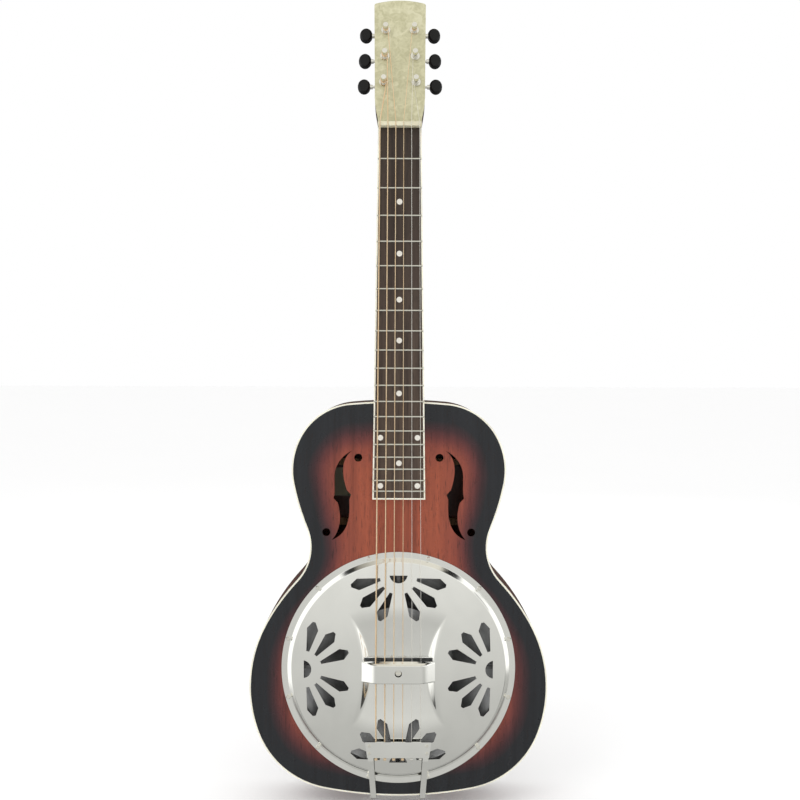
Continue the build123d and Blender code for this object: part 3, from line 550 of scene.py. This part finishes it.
def rest_height(x, y):
    """The palm rest: a raised strap with sloping ends and rolled edges."""
    flat = np.full_like(x, REST_RISE - 0.02)
    strap = smooth_min(flat, REST_FOOT + (REST_HALF - np.abs(x)) * REST_SLOPE, REST_BEND)
    roll = np.clip((np.abs(y - REST_Y) / rest_flare(x) - REST_WIDE) / REST_ROLL + 1, 0, 0.98)
    return strap - REST_ROLL * (1 - np.sqrt(1 - roll * roll))


def rest_flare(x):
    """How much wider the strap is towards its ends."""
    t = np.clip((np.abs(x) - FLARE_FROM) / FLARE_OVER, 0, 1)
    return 1 + FLARE * t * t


def straight_walls(node):
    """Plan-view edges of the walls that run straight through a CAD node."""
    mesh = nodes[node].data
    edges = set()
    for face in mesh.polygons:
        if abs(face.normal.y) < 0.02:
            corners = [mesh.vertices[i].co for i in face.vertices]
            plan = [(round(c.x * MM, 3), round(c.z * MM, 3)) for c in corners]
            edges |= {tuple(sorted(pair)) for pair in loop(plan) if pair[0] != pair[1]}
    return edges


def ring(radius, count):
    turns = [2 * math.pi * k / count for k in range(count)]
    return [(radius * math.cos(a), radius * math.sin(a)) for a in turns]


def loop(points):
    """The edges of a closed outline."""
    return set(zip(points, points[1:] + points[:1]))


def triangulate(edges, points, keep):
    """Plan points and triangles that fill the outlines, without the triangles that keep() refuses."""
    places = sorted({p for edge in edges for p in edge} | set(points))
    index = {p: i for i, p in enumerate(places)}
    links = sorted((index[a], index[b]) for a, b in edges)
    found = delaunay_2d_cdt([Vector(p) for p in places], links, [], 0, 0.001)
    plan = np.array(found[0])
    kept = np.array([t for t in found[2] if keep(*plan[list(t)].mean(axis=0))])
    used, renumbered = np.unique(kept, return_inverse=True)
    return plan[used], renumbered.reshape(kept.shape).tolist()


def facing(x, y, height):
    """The directions in which the surface height(x, y) faces, out of the top."""
    d = 0.05
    slope_x = (height(x + d, y) - height(x - d, y)) / (2 * d)
    slope_y = (height(x, y + d) - height(x, y - d)) / (2 * d)
    normals = np.column_stack([-slope_x, -np.ones_like(x), -slope_y])
    return normals / np.linalg.norm(normals, axis=1)[:, None]


def turned_alike(plan, triangles):
    """The triangles, all listed the same way round."""
    front = []
    for a, b, c in triangles:
        (ux, uy), (vx, vy) = plan[b] - plan[a], plan[c] - plan[a]
        front.append((a, b, c) if ux * vy > uy * vx else (a, c, b))
    return front


def sheet(name, plan, triangles, height, thick, instead_of=None):
    """A sheet that follows height(x, y), with exact normals on both faces and walls at its edges."""
    x, y = plan[:, 0], plan[:, 1]
    normals = facing(x, y, height)
    face = np.column_stack([x, -(TOP_FACE + height(x, y)), y])
    back = face - normals * thick
    front = turned_alike(plan, triangles)
    sides = {pair for tri in front for pair in zip(tri, tri[1:] + tri[:1])}
    rim = [(a, b) for a, b in sorted(sides) if (b, a) not in sides]
    total = len(plan)
    rear = [(a + total, c + total, b + total) for a, b, c in front]
    corners = [v for a, b in rim for v in (face[a], face[b], back[b], back[a])]
    walls = [tuple(2 * total + 4 * k + j for j in (3, 2, 1, 0)) for k in range(len(rim))]
    vertices = np.vstack([face, back, corners]) / MM
    mesh = bpy.data.meshes.new(name)
    mesh.from_pydata(vertices.tolist(), [], front + rear + walls)
    mesh.polygons.foreach_set("use_smooth", [True] * len(mesh.polygons))
    split = np.zeros((len(vertices), 3))
    split[:total], split[total:2 * total] = normals, -normals
    mesh.normals_split_custom_set_from_vertices(split.tolist())
    add_piece(name, mesh, "chrome_plate", instead_of)


def cover_points():
    """Points that are close together at the bevel and at the channel's walls."""
    points = [p for r in BEVEL_RINGS for p in ring(float(r), RING_POINTS)]
    steps = [float(v) for v in np.arange(-121, 122, GRID)]
    for x in steps:
        points += [(x, y) for y in steps if math.hypot(x, y) < GRID_R]
    for k in WALL_RINGS:
        for a in np.radians(WALL_ANGLES):
            x, y = CHANNEL_CENTRE - (CHANNEL_R + k) * math.cos(a), (CHANNEL_R + k) * math.sin(a)
            points += [(x, y), (-x, y)]
    return points


def coverplate():
    shown = BVHTree.FromObject(nodes["coverplate"], bpy.context.evaluated_depsgraph_get())
    wide, low, high = OPENING_HALF, OPENING_LOW, OPENING_HIGH

    def solid(x, y):
        """Whether the CAD's plate has metal here, outside the opening under the palm rest."""
        if abs(x) < wide and low < y < high:
            return False
        return shown.ray_cast(Vector((x / MM, -0.2, y / MM)), Vector((0, 1, 0)))[0] is not None

    edges = {e for e in straight_walls("coverplate") if FANS_FROM < math.hypot(*e[0]) < DOME_R}
    edges |= loop([(-wide, low), (wide, low), (wide, high), (-wide, high)])
    edges |= loop(ring(COVER_R - 0.01, RING_POINTS))
    plan, triangles = triangulate(edges, cover_points(), solid)
    sheet("coverplate_shell", plan, triangles, cover_height, SHEET, "coverplate")


def palm_rest():
    half = REST_HALF + 1.5
    across = [REST_WIDE * t for t in REST_ACROSS]
    across = [-a for a in reversed(across)] + [0.0] + across
    points = []
    for x in np.arange(-half, half + 0.01, 1.0):
        points += [(float(x), float(REST_Y + y * rest_flare(x))) for y in across]
    points = [p for p in points if math.hypot(*p) > REST_HOLE + 0.4]
    hole = loop(ring(REST_HOLE, 48))
    plan, triangles = triangulate(hole, points, lambda x, y: math.hypot(x, y) > REST_HOLE - 0.02)
    sheet("palm_rest", plan, triangles, rest_height, REST_SHEET)


coverplate()
palm_rest()


# ---- floor, light and camera ----
FLOOR_GAP = 0.0006             # between the lowest point and the floor
FLOOR_SIZE = 30
EYE = (0.001, -1.3027, 0.3550)
TILT, ROLL = math.radians(2.462), math.radians(-0.16)
SENSOR, FOCAL, SHIFT = 36.0, 46.6, 0.0175


def stage_material():
    """Pale card that glows a little, so that it stays pale far away."""
    glow = {"Emission Strength": 0.09, "Emission Color": (1, 1, 1, 1)}
    made, t, shader = material("floor_look", {"Roughness": 0.9, "Specular IOR Level": 0.1, **glow})
    cloud = t.noise(t.place(), 1.5, 2.0)
    t.put(shader.inputs["Base Color"], t.mix(cloud, (0.94, 0.94, 0.94, 1), (0.96, 0.96, 0.96, 1)))
    return made


def floor():
    """A pale floor under the guitar."""
    level = cad_box[0].z - FLOOR_GAP
    bm = bmesh.new()
    bmesh.ops.create_grid(bm, x_segments=8, y_segments=8, size=FLOOR_SIZE)
    for vertex in bm.verts:
        vertex.co.z = level
    mesh = bpy.data.meshes.new("floor")
    bm.to_mesh(mesh)
    bm.free()
    plane = bpy.data.objects.new("floor", mesh)
    mesh.materials.append(stage_material())
    scene.collection.objects.link(plane)
    plane.visible_glossy = False


# What the metal reflects. "away" is the angle from straight out of the top, and "around" the angle in the
# picture's plane, from the treble side towards the neck. Angles are in degrees.
BLACK, WHITE, GREY = (0.004, 0.004, 0.004), (1.25, 1.25, 1.22), (0.55, 0.55, 0.53)
CREAM, DUSK, DARK = (0.80, 0.77, 0.68), (0.30, 0.28, 0.24), (0.10, 0.10, 0.10, 1)
PANELS = (
    (-158, WHITE), (-148, GREY), (-32, GREY), (-24, WHITE), (45, WHITE), (48, BLACK),
    (58, BLACK), (60, CREAM), (100, CREAM), (118, DUSK), (121, BLACK), (128, BLACK), (130, WHITE),
)
FRONT_EDGE = (34, 62)          # between these the grey front gives way to the panels
BEHIND = (110, 128)            # and between these the panels give way to the dark


def span(t, value, edges, ends=(0.0, 1.0)):
    """Goes from one end value to the other between two angles."""
    low, high = edges
    return t.fit(value, math.radians(low), math.radians(high), *ends)


def within(t, value, low, high, soft):
    """1 between two angles, with soft edges inside them."""
    rise = span(t, value, (low, low + soft))
    return t.times(rise, span(t, value, (high - soft, high), (1.0, 0.0)))


def reflected_room(t):
    x, y, z = t.parts(t.add("ShaderNodeTexCoord").outputs["Generated"])
    around = t.math("ARCTAN2", z, x)
    away = t.math("ARCCOSINE", t.times(y, -1.0))
    turn = t.plus(t.math("DIVIDE", around, 2 * math.pi), 0.5)
    panels = t.ramp(turn, [(angle / 360 + 0.5, colour) for angle, colour in PANELS])
    flag = t.times(within(t, around, 17, 36, 4), within(t, away, 60, 78, 5))
    panels = t.mix(flag, panels, (*BLACK, 1))
    right_low = t.times(within(t, around, -40, -14, 6), span(t, away, (92, 98), (1.0, 0.0)))
    panels = t.mix(right_low, panels, (0.50, 0.50, 0.48, 1))
    level = t.fit(z, -0.65, 0.25, 0.45, 0.88, smooth=False)
    front = t.add("ShaderNodeCombineXYZ", {0: level, 1: level, 2: t.times(level, 0.965)}).outputs[0]
    glossy = t.mix(span(t, away, FRONT_EDGE), front, panels)
    low_strip = t.times(within(t, away, 53, 71, 4), within(t, around, -150, -20, 6))
    glossy = t.mix(t.times(low_strip, 0.93), glossy, (0.01, 0.01, 0.01, 1))
    return t.mix(span(t, away, BEHIND), glossy, DARK)


def world():
    """A white room, with a studio's panels and flags for what shines to reflect."""
    room = bpy.data.worlds.new("room")
    scene.world = room
    room.use_nodes = True
    t = Tree(room.node_tree)
    ray = t.add("ShaderNodeLightPath").outputs
    seen = t.mix(ray["Is Glossy Ray"], (0.94, 0.94, 0.94, 1), reflected_room(t))
    seen = t.mix(ray["Is Camera Ray"], seen, (1.0, 1.0, 1.0, 1))
    background = t.add("ShaderNodeBackground", {0: seen, 1: 1.0})
    output = t.add("ShaderNodeOutputWorld")
    t.tree.links.new(background.outputs[0], output.inputs[0])


def soft_light(name, place, target, size, power):
    """A large lamp that itself isn't seen or reflected."""
    light = bpy.data.lights.new(name, "AREA")
    light.shape = "RECTANGLE"
    light.size, light.size_y = size
    light.energy = power
    lamp = bpy.data.objects.new(name, light)
    lamp.location = place
    lamp.rotation_mode = "QUATERNION"
    lamp.rotation_quaternion = (Vector(target) - Vector(place)).to_track_quat("-Z", "Y")
    lamp.visible_glossy = False
    lamp.visible_camera = False
    scene.collection.objects.link(lamp)


def camera():
    """In front of the nut-to-tail middle, looking slightly down."""
    lens = bpy.data.cameras.new("camera")
    lens.sensor_width = SENSOR
    lens.lens = FOCAL
    lens.shift_y = SHIFT
    lens.clip_start, lens.clip_end = 0.05, 200
    eye = bpy.data.objects.new("camera", lens)
    eye.location = EYE
    eye.rotation_euler = (math.pi / 2 - TILT, ROLL, 0)
    scene.collection.objects.link(eye)
    scene.camera = eye


floor()
world()
soft_light("key", (-1.4, -1.8, 1.9), (0, 0, 0.2), (1.4, 1.4), 12)
soft_light("fill", (1.9, -1.5, 0.8), (0, 0, 0.2), (1.6, 1.6), 4)
soft_light("back", (0.6, 2.2, 1.6), (0, 0, 0.3), (1.6, 1.6), 5)
camera()
scene.view_settings.view_transform = "Standard"
scene.view_settings.look = "None"
